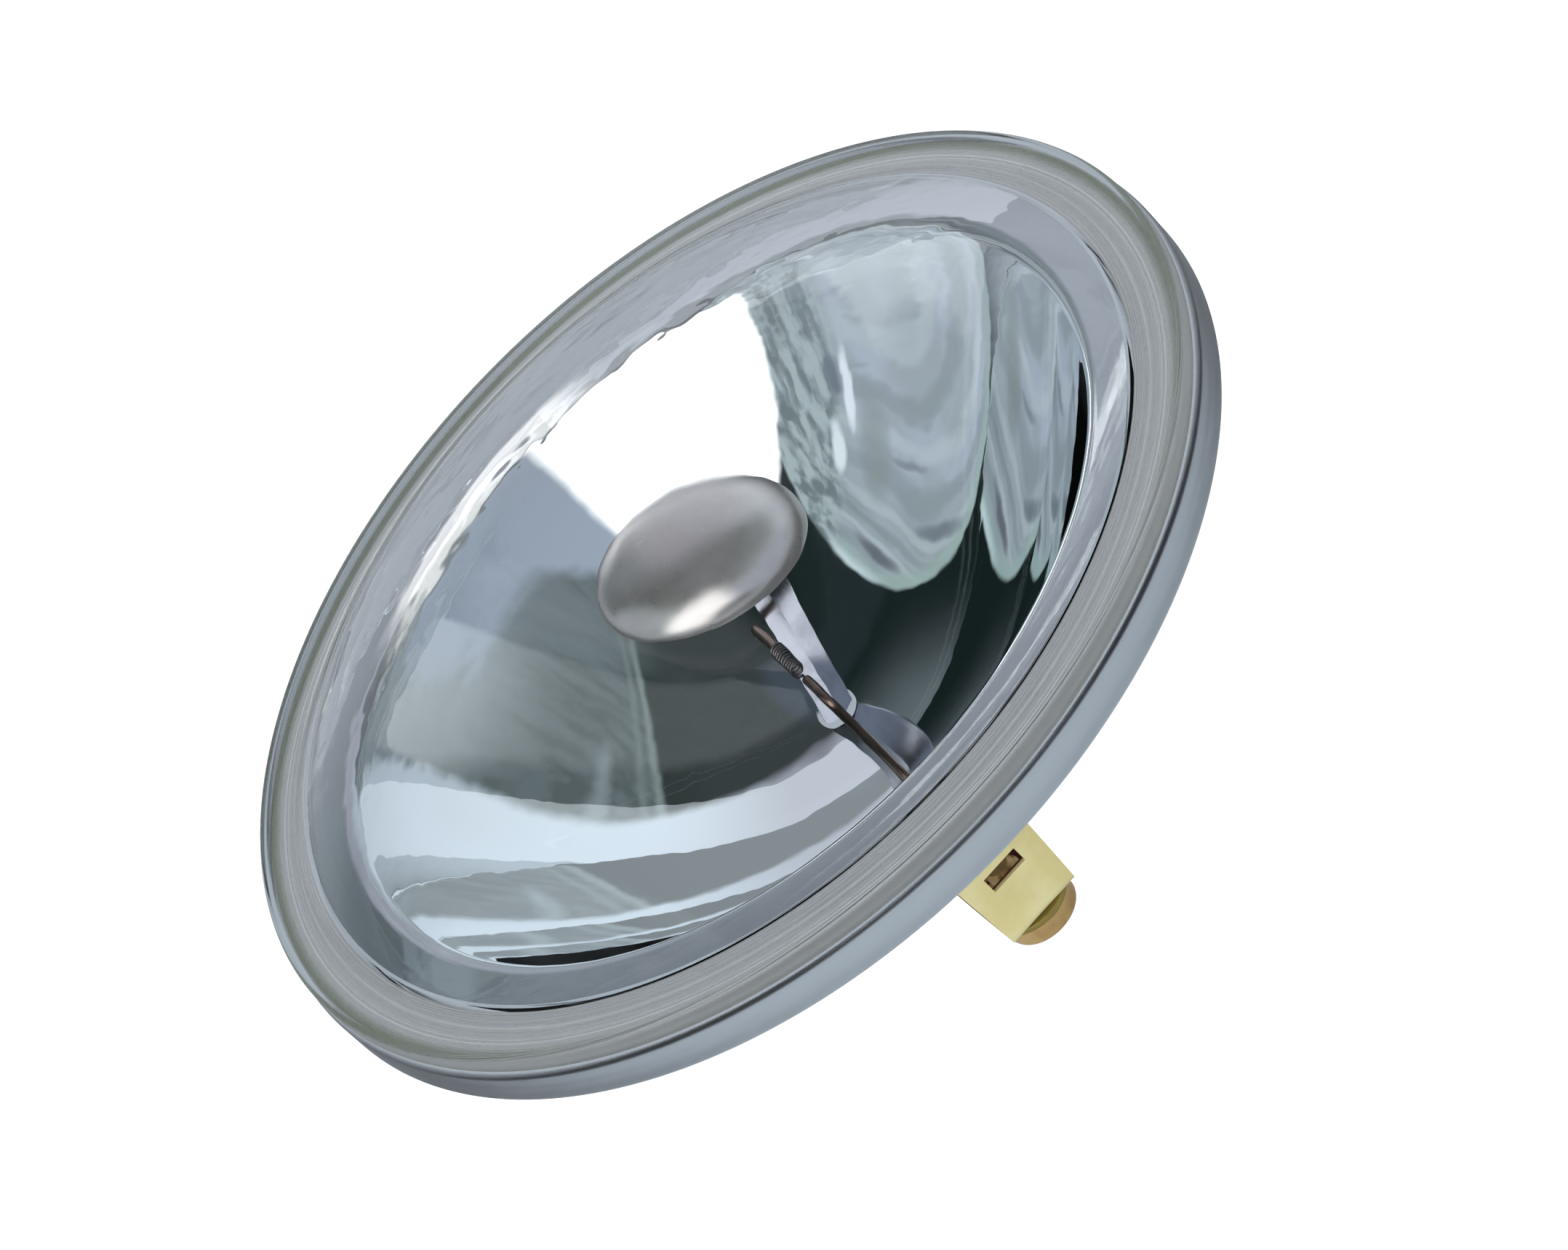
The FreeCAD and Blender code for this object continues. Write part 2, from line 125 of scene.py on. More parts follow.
# %% The sheet that a material or the world is drawn on
class Sheet:
    def __init__(self, tree):
        self.tree = tree
        tree.nodes.clear()

    def node(self, kind, settings=None, inputs=None, output=0):
        made = self.tree.nodes.new(kind)
        for name, value in (settings or {}).items():
            setattr(made, name, value)
        for name, value in (inputs or {}).items():
            if isinstance(value, Wire):
                self.tree.links.new(value.socket, made.inputs[name])
            else:
                made.inputs[name].default_value = value
        return Wire(self, made.outputs[output])

    def place(self, source="Object"):
        return self.node("ShaderNodeTexCoord", output=source)

    def axes(self, place):
        """The three numbers of a place."""
        split = self.tree.nodes.new("ShaderNodeSeparateXYZ")
        self.tree.links.new(place.socket, split.inputs[0])
        return [Wire(self, socket) for socket in split.outputs]

    def stretched(self, place, scale):
        return self.node("ShaderNodeMapping", inputs={"Vector": place, "Scale": scale})

    def rings(self, radius, scale, detail=3.0):
        """Uneven rings round the beam axis."""
        inputs = {"W": radius, "Scale": scale, "Detail": detail, "Roughness": 0.6}
        return self.node("ShaderNodeTexNoise", {"noise_dimensions": "1D"}, inputs)

    def noise(self, place, scale, detail=3.0, roughness=0.5):
        inputs = {"Vector": place, "Scale": scale, "Detail": detail, "Roughness": roughness}
        return self.node("ShaderNodeTexNoise", inputs=inputs)

    def blend(self, amount, first, second):
        """From the first colour to the second."""
        inputs = {0: amount, 6: first, 7: second}
        return self.node("ShaderNodeMix", {"data_type": "RGBA"}, inputs, output=2)

    def bump(self, height, strength, depth):
        inputs = {"Height": height, "Strength": strength, "Distance": depth}
        return self.node("ShaderNodeBump", inputs=inputs, output="Normal")

    def finish(self, shader):
        out = self.tree.nodes.new("ShaderNodeOutputMaterial")
        self.tree.links.new(shader.socket, out.inputs["Surface"])


# %% [markdown]
# ## Colours as a painter reads them
# Colours are easiest to pick as the 0 to 255 numbers of a picture. Blender's shaders work
# with light, where the scale isn't even, so each number is turned into light once.


# %% Picture colours turned into light
def light_of(level):
    share = level / 255
    return share / 12.92 if share <= 0.04045 else ((share + 0.055) / 1.055) ** 2.4


def tone(red, green, blue, gain=1.0):
    return tuple(light_of(level) * gain for level in (red, green, blue)) + (1.0,)


def material(name):
    made = bpy.data.materials.new(name)
    made.use_nodes = True
    return made, Sheet(made.node_tree)


print("mid grey is", round(light_of(128), 3), "as light")

# %% [markdown]
# ## Turned shapes
# Nearly every piece of the lamp is round about one axis: lens, bowl, mirror, shield,
# washers and screws. Each is drawn as half a cross-section with a pen that goes straight
# or swings round a point, and is then turned through a full circle. That is how the
# moulds for pressed glass are cut too, and it leaves perfectly smooth reflections, which
# a mesh made by cutting and joining solids would not.


# %% A pen that draws half a cross-section
class Pen:
    def __init__(self, radius, z):
        self.bm = bmesh.new()
        self.tip = self.bm.verts.new((radius * MM, 0, z * MM))

    def to(self, radius, z):
        made = bmesh.ops.extrude_vert_indiv(self.bm, verts=[self.tip])
        self.tip = made["verts"][0]
        self.tip.co = (radius * MM, 0, z * MM)
        return self

    def swing(self, radius, z, degrees, steps=6):
        """Round the point (radius, z); positive goes from up towards outwards."""
        made = bmesh.ops.spin(
            self.bm,
            geom=[self.tip],
            cent=(radius * MM, 0, z * MM),
            axis=(0, 1, 0),
            angle=math.radians(degrees),
            steps=steps,
        )
        self.tip = next(g for g in made["geom_last"] if isinstance(g, bmesh.types.BMVert))
        return self

    def parabola(self, start, end, vertex, four_f, steps):
        for step in range(1, steps + 1):
            radius = start + (end - start) * step / steps
            self.to(radius, vertex + radius ** 2 / four_f)
        return self

    def pulled(self, poles, steps=8):
        """A curve from the tip to the last pole, pulled towards the poles between."""
        poles = [Vector((self.tip.co.x / MM, self.tip.co.z / MM))] + [Vector(p) for p in poles]
        for step in range(1, steps + 1):
            points = poles
            while len(points) > 1:
                points = [a.lerp(b, step / steps) for a, b in zip(points, points[1:])]
            self.to(points[0].x, points[0].y)
        return self


# %% From a bmesh to a piece on its body
SHARP = math.radians(32)


def as_piece(bm, name, body, slot, finish=None):
    """Close the mesh, point its faces outwards, smooth all but the sharp edges."""
    bmesh.ops.remove_doubles(bm, verts=bm.verts, dist=1e-6)
    bmesh.ops.recalc_face_normals(bm, faces=bm.faces)
    for face in bm.faces:
        face.smooth = True
    for edge in bm.edges:
        edge.smooth = len(edge.link_faces) == 2 and edge.calc_face_angle(0) < SHARP
    mesh = bpy.data.meshes.new(name)
    bm.to_mesh(mesh)
    bm.free()
    piece = bpy.data.objects.new(name, mesh)
    bpy.context.scene.collection.objects.link(piece)
    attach(piece, body)
    piece["finish"] = finish or slot
    print(name, len(mesh.polygons), "faces")
    return piece


def turn(pen, segments=256, y=0.0):
    """The pen's line turned round the beam axis, or round an axis beside it."""
    bm = pen.bm
    bmesh.ops.spin(
        bm,
        geom=bm.verts[:] + bm.edges[:],
        cent=(0, 0, 0),
        axis=(0, 0, 1),
        angle=math.tau,
        steps=segments,
        use_merge=True,
    )
    bmesh.ops.remove_doubles(bm, verts=bm.verts, dist=1e-6)
    bmesh.ops.translate(bm, verts=bm.verts, vec=(0, y * MM, 0))
    return bm


# %% Cutting one shape with another
def changed(bm, tool, operation):
    """The bmesh after a Boolean modifier with the tool's bmesh."""
    pair = []
    for source in (bm, tool):
        bmesh.ops.recalc_face_normals(source, faces=source.faces)
        mesh = bpy.data.meshes.new("cutting")
        source.to_mesh(mesh)
        source.free()
        holder = bpy.data.objects.new("cutting", mesh)
        bpy.context.scene.collection.objects.link(holder)
        pair.append(holder)
    cut = pair[0].modifiers.new("cut", "BOOLEAN")
    cut.object = pair[1]
    cut.operation = operation
    cut.solver = "EXACT"
    seen = pair[0].evaluated_get(bpy.context.evaluated_depsgraph_get())
    result = bmesh.new()
    result.from_mesh(seen.to_mesh())
    seen.to_mesh_clear()
    for holder in pair:
        bpy.data.meshes.remove(holder.data)
    return result


def rod(radius, low, high, y=0.0):
    """A plain cylinder along the beam, used to drill holes."""
    bm = bmesh.new()
    bmesh.ops.create_cone(
        bm,
        cap_ends=True,
        segments=48,
        radius1=radius * MM,
        radius2=radius * MM,
        depth=(high - low) * MM,
        matrix=Matrix.Translation((0, y * MM, (low + high) / 2 * MM)),
    )
    return bm


# %% [markdown]
# ## The lens
# The lens is pressed in a mould: an even dome, a small hollow fillet at its foot and a
# flat flange that the lamp is clamped by. Its foot is drawn a little too long, so that it
# reaches into the bowl below. The two are one body of glass in the end, and light has to
# cross the seam as if it weren't there.

# %% Turn the lens
SEAM = 0.01
DOME = 94.0
DOME_Z = -76.332
LENS_GLASS = 3.5
FLANGE = 2.5
FOOT_FILLET = 1.6
LENS_EDGE = 56.0
EDGE_ROUND = 0.7
FUSED = 0.4

fillet_radius = math.sqrt((DOME + FOOT_FILLET) ** 2 - (FLANGE + FOOT_FILLET - DOME_Z) ** 2)
foot_angle = math.degrees(math.asin(fillet_radius / (DOME + FOOT_FILLET)))
inner_radius = math.sqrt((DOME - LENS_GLASS) ** 2 - (SEAM - DOME_Z) ** 2)
inner_angle = math.degrees(math.asin(inner_radius / (DOME - LENS_GLASS)))

pen = Pen(0, DOME_Z + DOME)
pen.swing(0, DOME_Z, foot_angle, 72)
pen.swing(fillet_radius, FLANGE + FOOT_FILLET, -foot_angle, 8)
pen.to(LENS_EDGE - EDGE_ROUND, FLANGE)
pen.swing(LENS_EDGE - EDGE_ROUND, FLANGE - EDGE_ROUND, 90)
pen.to(LENS_EDGE, SEAM + EDGE_ROUND)
pen.swing(LENS_EDGE - EDGE_ROUND, SEAM + EDGE_ROUND, 90)
pen.to(LENS_EDGE - EDGE_ROUND, -FUSED)
pen.to(inner_radius, -FUSED)
pen.to(inner_radius, SEAM)
pen.swing(0, DOME_Z, -inner_angle, 72)
clear_lens = turn(pen)
print("dome springs", round(inner_radius, 2), "mm from the axis")

# %% [markdown]
# ## The bowl
# The bowl's inside is a parabola, so that light from the filament leaves as a beam. The
# wall behind it is even, swells into a thick heel that holds the two metal thimbles, and
# ends in the closed stub of the tube through which the air was pumped out. The holes for
# the leads are drilled with a Boolean, because they lie beside the axis.

# %% Heights that follow from the mirror's curve
RIM = 56.35
RIM_ROUND = 0.6
BOWL_FLANGE = 4.3
BOWL_GLASS = 4.0
APERTURE = 44.0
FOCAL = 16.7
FOUR_F = 4 * FOCAL
VERTEX = -(APERTURE ** 2) / FOUR_F
LIP_FOOT = APERTURE - 0.6
LIP_Z = VERTEX + LIP_FOOT ** 2 / FOUR_F
LIP_TOP = 44.96
HEEL = VERTEX - 4.1
HEEL_RADIUS = 14.6
HEEL_FILLET = 1.5
LEAD_Y = 9.4
LEAD_HOLE = 2.2
FOOT = HEEL - 3.4
REAR = FOOT - 10.8
print("vertex", round(VERTEX, 2), "heel", round(HEEL, 2), "terminals end at", round(REAR, 2))

# %% The back wall follows the mirror at an even distance
flange_inner = math.sqrt(FOUR_F * (-BOWL_FLANGE - VERTEX))
root = flange_inner + BOWL_GLASS / math.sin(math.atan(flange_inner / (2 * FOCAL)))
back_vertex = VERTEX - BOWL_GLASS
back_four_f = root ** 2 / (-BOWL_FLANGE - back_vertex)
top = root - 2
top_z = back_vertex + top ** 2 / back_four_f
corner = top + (-BOWL_FLANGE - top_z) * back_four_f / (2 * top)
low = HEEL_RADIUS + HEEL_FILLET
low_z = back_vertex + low ** 2 / back_four_f
heel_corner_z = low_z - HEEL_FILLET * 2 * low / back_four_f

# %% Turn and drill the bowl
HEEL_ROUND = 1.0
STUB = 4.2
STUB_LONG = 5.2
STUB_POLES = [(3.2, HEEL - 2.6), (1.1, HEEL - STUB_LONG), (0, HEEL - STUB_LONG)]

pen = Pen(0, VERTEX)
pen.parabola(0, LIP_FOOT, VERTEX, FOUR_F, 60)
pen.pulled([(APERTURE, -SEAM), (LIP_TOP, -SEAM)], 12)
pen.to(RIM - RIM_ROUND, -SEAM)
pen.swing(RIM - RIM_ROUND, -SEAM - RIM_ROUND, 90)
pen.to(RIM, RIM_ROUND - BOWL_FLANGE)
pen.swing(RIM - RIM_ROUND, RIM_ROUND - BOWL_FLANGE, 90)
pen.to(corner + 2, -BOWL_FLANGE)
pen.pulled([(corner, -BOWL_FLANGE), (top, top_z)])
pen.parabola(top, low, back_vertex, back_four_f, 36)
pen.pulled([(HEEL_RADIUS, heel_corner_z), (HEEL_RADIUS, heel_corner_z - HEEL_FILLET)])
pen.to(HEEL_RADIUS, HEEL + HEEL_ROUND)
pen.swing(HEEL_RADIUS - HEEL_ROUND, HEEL + HEEL_ROUND, 90)
pen.to(STUB, HEEL)
pen.swing(STUB, HEEL - HEEL_ROUND, -90)
pen.pulled(STUB_POLES, 12)
glass = turn(pen)
for side in (-1, 1):
    glass = changed(glass, rod(LEAD_HOLE, HEEL - 1, VERTEX + 6, side * LEAD_Y), "DIFFERENCE")
glass = changed(glass, clear_lens, "UNION")
envelope = as_piece(glass, "fused_envelope", "lamp", "bowl_glass")
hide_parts("reflector_bowl", "lens")

# %% [markdown]
# ## The seam and the bosses
# Where lens and bowl were melted together the glass is cloudy and full of fine lines. A
# clear body alone has nothing in it to see there, so a thin flat ring inside the glass
# stands for that layer. It is glass of the bowl, with a finish of its own. On the heel, a
# low glass boss holds each of the two thimbles.

# %% Turn the cloudy ring
SEAM_IN, SEAM_OUT = 48.9, 55.2
SEAM_LOW, SEAM_HIGH = -0.3, -0.2

pen = Pen(SEAM_IN, SEAM_LOW)
pen.to(SEAM_OUT, SEAM_LOW)
pen.to(SEAM_OUT, SEAM_HIGH)
pen.to(SEAM_IN, SEAM_HIGH)
pen.to(SEAM_IN, SEAM_LOW)
as_piece(turn(pen), "fused_seam", "lamp", "bowl_glass", "seam")

# %% Turn the bosses round the thimbles
THIMBLE = 3.42
BOSS = 5.2
BOSS_ROUND = 0.5
BOSS_END = HEEL - 1.4

for name, side in (("near", -1), ("far", 1)):
    pen = Pen(THIMBLE, HEEL - SEAM)
    pen.to(BOSS, HEEL - SEAM)
    pen.to(BOSS, BOSS_END + BOSS_ROUND)
    pen.swing(BOSS - BOSS_ROUND, BOSS_END + BOSS_ROUND, 90)
    pen.to(THIMBLE, BOSS_END)
    pen.to(THIMBLE, HEEL - SEAM)
    as_piece(turn(pen, 96, side * LEAD_Y), "bowl_boss_" + name, "lamp", "bowl_glass")

# %% [markdown]
# ## The mirror
# The real film of aluminium is far thinner than paper. Here it is a thin closed shell
# that lies a hair inside the glass, with the same two holes. Its surface has to be
# smoother than any other, since every flat facet would break the picture in it.

# %% Turn and drill the mirror
FILM = 0.12
FILM_EDGE = 48.3
HAIR = 0.02

pen = Pen(0, VERTEX + HAIR)
pen.parabola(0, LIP_FOOT, VERTEX + HAIR, FOUR_F, 72)
pen.pulled([(APERTURE + HAIR, 0.0), (LIP_TOP, 0.0)], 12)
pen.to(FILM_EDGE, 0.0)
pen.to(FILM_EDGE, FILM)
pen.to(LIP_TOP + 0.1, FILM)
front_foot = LIP_FOOT - FILM
pen.pulled([(APERTURE - HAIR, FILM), (front_foot, LIP_Z)], 12)
pen.parabola(front_foot, 0, VERTEX + FILM, front_foot ** 2 / (LIP_Z - VERTEX - FILM), 72)
film = turn(pen)
for side in (-1, 1):
    film = changed(film, rod(LEAD_HOLE, HEEL, VERTEX + 6, side * LEAD_Y), "DIFFERENCE")
mirror = as_piece(film, "bright_mirror", "lamp", "mirror_film")
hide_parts("mirror_film")

# %% [markdown]
# ## The shield
# A small spun cap stops light from going straight forward, so that only the mirror's beam
# leaves the lamp. It is half an ellipse in section, and it stands a little crooked on its
# arm, as such caps do. It is turned upright first and then leant over.

# %% Turn and lean the shield
SHIELD_RADIUS = 11.1
SHIELD_HIGH = 5.4
SHIELD_WALL = 0.3
SHIELD_GAP = 6.2
SHIELD_ASIDE = 1.1
SHIELD_Z = DOME_Z + DOME - LENS_GLASS - SHIELD_GAP - SHIELD_HIGH
SHIELD_TILT = math.radians(12.5)


def ellipse(pen, radius, height, start, end, steps=40):
    for step in range(1, steps + 1):
        angle = math.radians(start + (end - start) * step / steps)
        pen.to(radius * math.cos(angle), SHIELD_Z + height * math.sin(angle))
    return pen


pen = Pen(0, SHIELD_Z + SHIELD_HIGH)
ellipse(pen, SHIELD_RADIUS, SHIELD_HIGH, 90, 0)
pen.swing(SHIELD_RADIUS - SHIELD_WALL / 2, SHIELD_Z, 180)
ellipse(pen, SHIELD_RADIUS - SHIELD_WALL, SHIELD_HIGH - SHIELD_WALL, 0, 90)
cap = turn(pen, 192)
lean = Matrix.Rotation(SHIELD_TILT, 4, "Y")
bmesh.ops.rotate(cap, verts=cap.verts, cent=(0, 0, SHIELD_Z * MM), matrix=lean)
bmesh.ops.translate(cap, verts=cap.verts, vec=(SHIELD_ASIDE * MM, 0, 0))
shield = as_piece(cap, "spun_shield", "lamp", "shield_metal")
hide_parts("filament_shield")

# %% [markdown]
# ## The leads
# Each lead is a stiff wire that stands in its thimble, rises beside the shield's arm and
# bends inwards to hold one end of the filament. A disc is pushed up, spun through the
# bend and pushed on to the tip, the way a wire is bent round a pin.


# %% Bend the leads
LEAD_RADIUS = 0.5
LEAD_BEND = 1.5
LEAD_TIP = 3.8
COIL_DROP = 0.7
LEAD_FOOT = FOOT + 0.5


def bent_wire(side):
    bm = bmesh.new()
    foot = Matrix.Translation((0, side * LEAD_Y * MM, LEAD_FOOT * MM))
    bmesh.ops.create_circle(
        bm, cap_ends=True, segments=24, radius=LEAD_RADIUS * MM, matrix=foot)
    face = bm.faces[:]

    def push(vector):
        made = bmesh.ops.extrude_face_region(bm, geom=face)["geom"]
        corners = [g for g in made if isinstance(g, bmesh.types.BMVert)]
        bmesh.ops.translate(bm, verts=corners, vec=Vector(vector) * MM)
        return [g for g in made if isinstance(g, bmesh.types.BMFace)]

    bend_z = VERTEX + FOCAL - COIL_DROP - LEAD_BEND
    face = push((0, 0, bend_z - LEAD_FOOT))
    bend = bmesh.ops.spin(
        bm,
        geom=face,
        cent=(0, side * (LEAD_Y - LEAD_BEND) * MM, bend_z * MM),
        axis=(1, 0, 0),
        angle=math.radians(90) * side,
        steps=10,
    )
    face = [g for g in bend["geom_last"] if isinstance(g, bmesh.types.BMFace)]
    push((0, -side * (LEAD_Y - LEAD_BEND - LEAD_TIP), 0))
    return bm


for name, side in (("near", -1), ("far", 1)):
    wire = as_piece(bent_wire(side), "bent_lead_" + name, "lamp", "lead_nickel")
    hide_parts("lead_" + name)

# %% [markdown]
# ## The folded terminals
# Each terminal is a strip of brass folded into an open box. Its outline is drawn once,
# filled, and pushed out to the strip's width. Then the strip is narrowed towards the
# screw, the window is punched, the screw hole is drilled with its pulled-up collar, and
# a fine bevel breaks the edges as the press does.

# %% Fold the terminals
STRIP = 0.8
FOLD = 1.4
INNER, OUTER = 5.1, 13.7
NOSE = FOOT - 3.0


def outline():
    """The strip's edge: outside of the folds first, then back along the inside."""
    first, last = INNER + FOLD, OUTER - FOLD
    pen = Pen(first, FOOT)
    pen.to(last, FOOT)
    pen.swing(last, FOOT - FOLD, 90, 8)
    pen.to(OUTER, REAR + FOLD)
    pen.swing(last, REAR + FOLD, 90, 8)
    pen.to(first, REAR)
    pen.swing(first, REAR + FOLD, 90, 8)
    pen.to(INNER, NOSE)
    pen.to(INNER + STRIP, NOSE)
    pen.to(INNER + STRIP, REAR + FOLD)
    pen.swing(first, REAR + FOLD, -90, 8)
    pen.to(last, REAR + STRIP)
    pen.swing(last, REAR + FOLD, -90, 8)
    pen.to(OUTER - STRIP, FOOT - FOLD)
    pen.swing(last, FOOT - FOLD, -90, 8)
    pen.to(first, FOOT - STRIP)
    pen.to(first, FOOT)
    return pen.bm


def block(size, centre):
    bm = bmesh.new()
    spot = Matrix.Translation(Vector(centre) * MM) @ Matrix.Diagonal(Vector((*size, 1)))
    bmesh.ops.create_cube(bm, size=MM, matrix=spot)
    return bm


# %% Widen, punch and drill the strip
WIDE, NARROW = 10.1, 9.0
WINDOW = (4.45, 3, 2.1)
WINDOW_DROP = 2.85
COLLAR = 3.0
TAPPED = 2.15
ASKEW = math.radians(3.5)


def folded_strip(side):
    bm = outline()
    bmesh.ops.remove_doubles(bm, verts=bm.verts, dist=1e-6)
    bmesh.ops.contextual_create(bm, geom=bm.edges[:])
    bmesh.ops.translate(bm, verts=bm.verts, vec=(0, -WIDE / 2 * MM, 0))
    made = bmesh.ops.extrude_face_region(bm, geom=bm.faces[:])["geom"]
    ends = [g for g in made if isinstance(g, bmesh.types.BMVert)]
    bmesh.ops.translate(bm, verts=ends, vec=(0, WIDE * MM, 0))
    bmesh.ops.rotate(bm, verts=bm.verts, matrix=Matrix.Rotation(math.radians(90), 4, "Z"))
    for vert in bm.verts:
        share = (FOOT * MM - vert.co.z) / ((FOOT - REAR) * MM)
        vert.co.x *= 1 - share * (1 - NARROW / WIDE)

    bm = changed(bm, block(WINDOW, (0, OUTER, FOOT - WINDOW_DROP)), "DIFFERENCE")
    bm = changed(bm, rod(COLLAR, REAR + 0.4, REAR + 2.0, LEAD_Y), "UNION")
    bm = changed(bm, rod(TAPPED, REAR - 1, REAR + 3, LEAD_Y), "DIFFERENCE")
    edges = [e for e in bm.edges if len(e.link_faces) == 2 and e.calc_face_angle(0) > 0.7]
    bmesh.ops.bevel(
        bm,
        geom=edges,
        offset=0.09 * MM,
        segments=2,
        profile=0.5,
        affect="EDGES",
        material=-1,
        clamp_overlap=True,
    )
    middle = (0, LEAD_Y * MM, 0)
    askew = Matrix.Rotation(ASKEW, 4, "Z")
    bmesh.ops.rotate(bm, verts=bm.verts, cent=middle, matrix=askew)
    if side < 0:
        half_turn = Matrix.Rotation(math.pi, 4, "Z")
        bmesh.ops.rotate(bm, verts=bm.verts, matrix=half_turn)
    return bm


for name, side in (("near", -1), ("far", 1)):
    strip = as_piece(folded_strip(side), "folded_terminal_" + name, "lamp", "terminal_brass")
    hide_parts("terminal_" + name)

# %% [markdown]
# ## Washers and screws
# A washer is a turned ring with soft edges. A screw is two turned shapes: a rounded head,
# in which a slot is sawn, and a threaded shank. One tooth of the thread, spun round while
# it moves along, draws the whole helix, and a core inside it closes the shank.

# %% Turn the washers
HEAD = REAR - 0.7
WASHER = 4.3
WASHER_HOLE = 2.28
WASHER_ROUND = 0.15

for name, side in (("near", -1), ("far", 1)):
    pen = Pen(WASHER_HOLE, REAR)
    pen.to(WASHER - WASHER_ROUND, REAR)
    pen.swing(WASHER - WASHER_ROUND, REAR - WASHER_ROUND, 90, 4)
    pen.to(WASHER, HEAD + WASHER_ROUND)
    pen.swing(WASHER - WASHER_ROUND, HEAD + WASHER_ROUND, 90, 4)
    pen.to(WASHER_HOLE, HEAD)
    pen.to(WASHER_HOLE, REAR)
    bm = turn(pen, 96, side * LEAD_Y)
    ring = as_piece(bm, "turned_washer_" + name, "washer_" + name, "washer_brass")
    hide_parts("washer_" + name)


# %% Spin the thread
PITCH = 0.794
ROUNDS = 6.5
STEPS = 32 * 6
ROOT, CREST = 1.66, 2.08


def thread(y):
    """One tooth spun along the shank."""
    pen = Pen(ROOT, HEAD + 0.1)
    pen.to(CREST, HEAD + 0.4)
    pen.to(CREST, HEAD + 0.5)
    pen.to(ROOT, HEAD + 0.8)
    bmesh.ops.spin(
        pen.bm,
        geom=pen.bm.verts[:] + pen.bm.edges[:],
        cent=(0, 0, 0),
        axis=(0, 0, 1),
        angle=math.tau * ROUNDS,
        steps=STEPS,
        dvec=(0, 0, PITCH * ROUNDS / STEPS * MM),
    )
    bmesh.ops.holes_fill(pen.bm, edges=pen.bm.edges[:], sides=6)
    bmesh.ops.translate(pen.bm, verts=pen.bm.verts, vec=(0, y * MM, 0))
    return pen.bm


# %% Turn the screws
HEAD_RADIUS = 4.25
HEAD_HIGH = 2.4
HEAD_ROUND = 0.9
SLOT = (12, 1.2, 4)
CORE = 1.7
SHANK_END = HEAD + 6.4


def turned_screw(side):
    pen = Pen(0, HEAD - SEAM)
    pen.to(HEAD_RADIUS - 0.1, HEAD - SEAM)
    pen.swing(HEAD_RADIUS - 0.1, HEAD - SEAM - 0.1, 90, 3)
    pen.to(HEAD_RADIUS, HEAD - HEAD_HIGH + HEAD_ROUND)
    pen.swing(HEAD_RADIUS - HEAD_ROUND, HEAD - HEAD_HIGH + HEAD_ROUND, 90, 10)
    pen.to(0, HEAD - HEAD_HIGH)
    head = turn(pen, 96, side * LEAD_Y)
    slot = block(SLOT, (0, side * LEAD_Y, HEAD - 3.3))
    head = changed(head, slot, "DIFFERENCE")

    pen = Pen(0, HEAD)
    pen.to(CORE, HEAD)
    pen.to(CORE, SHANK_END - 0.4)
    pen.to(CORE - 0.4, SHANK_END)
    pen.to(0, SHANK_END)
    core = turn(pen, 64, side * LEAD_Y)
    for part in (core, thread(side * LEAD_Y)):
        mesh = bpy.data.meshes.new("part")
        part.to_mesh(mesh)
        part.free()
        head.from_mesh(mesh)
        bpy.data.meshes.remove(mesh)
    return head


for name, side in (("near", -1), ("far", 1)):
    bm = turned_screw(side)
    screw = as_piece(bm, "slotted_screw_" + name, "screw_" + name, "screw_brass")
    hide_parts("screw_" + name)

# %% [markdown]
# ## Clear glass
# Pressed glass is clear, with a breath of green that only shows where light travels along
# it, as in the flange. Its surface isn't quite flat: it keeps faint waves from the mould,
# and fine rings on the flange, and they bend the bright lines near the rim. Its own
# reflection is held back with a grey Specular Tint, so that no veil lies over the mirror
# behind it. The outer wall is made satin, because clear glass renders black there.


# %% Mix the glass
def radius_of(sheet, place):
    across, along, up = sheet.axes(place)
    return (across * across + along * along) ** 0.5


WALL_START, WALL_FULL = 0.0556, 0.0560


def glass_finish(name, tint, waves):
    made, sheet = material(name)
    place = sheet.place()
    radius = radius_of(sheet, place)
    height = sheet.noise(place, 55.0, 1.0) + 0.25 * sheet.noise(place, 260.0, 1.0)
    height = height + 0.12 * sheet.rings(radius, 700.0, 2.0) * radius.rise(0.046, 0.05)
    inputs = {
        "Base Color": tint,
        "Roughness": radius.rise(WALL_START, WALL_FULL) * 0.4,
        "IOR": 1.48,
        "Transmission Weight": 1.0,
        "Specular Tint": (0.4, 0.4, 0.4, 1),
        "Normal": sheet.bump(height, waves, 0.001),
    }
    sheet.finish(sheet.node("ShaderNodeBsdfPrincipled", inputs=inputs))
    return made


lens_glass = glass_finish("clear pressed glass", (0.965, 0.98, 0.985, 1), 0.05)
bowl_glass = glass_finish("bowl glass", (0.955, 0.978, 0.98, 1), 0.08)

# %% [markdown]
# ## Cloudy glass
# The seam's lines run round the beam, so they are noise on the distance from it alone.
# They carry both the colour and how much of the clear glass shows through. Near the rim
# the ring turns olive, as thick glass does when one looks along it.

# %% Mix the cloudy glass
seam, sheet = material("fused seam")
place = sheet.place()
radius = radius_of(sheet, place)
lines = sheet.rings(radius, 2200.0).rise(0.35, 0.65)
cloud = sheet.blend(lines, tone(186, 192, 196), tone(246, 248, 250))
inputs = {
    "Base Color": sheet.blend(radius.rise(0.0534, 0.0546) * 0.8, cloud, tone(128, 142, 112)),
    "Roughness": 0.4 + lines * 0.2,
    "Alpha": 0.3 + lines * 0.45,
}
sheet.finish(sheet.node("ShaderNodeBsdfPrincipled", inputs=inputs))

# %% [markdown]
# ## The bright film
# Evaporated aluminium follows the glass under it, so the mirror shows the waves of the
# pressing. Those broad waves and a trace of haze keep it from looking computed.

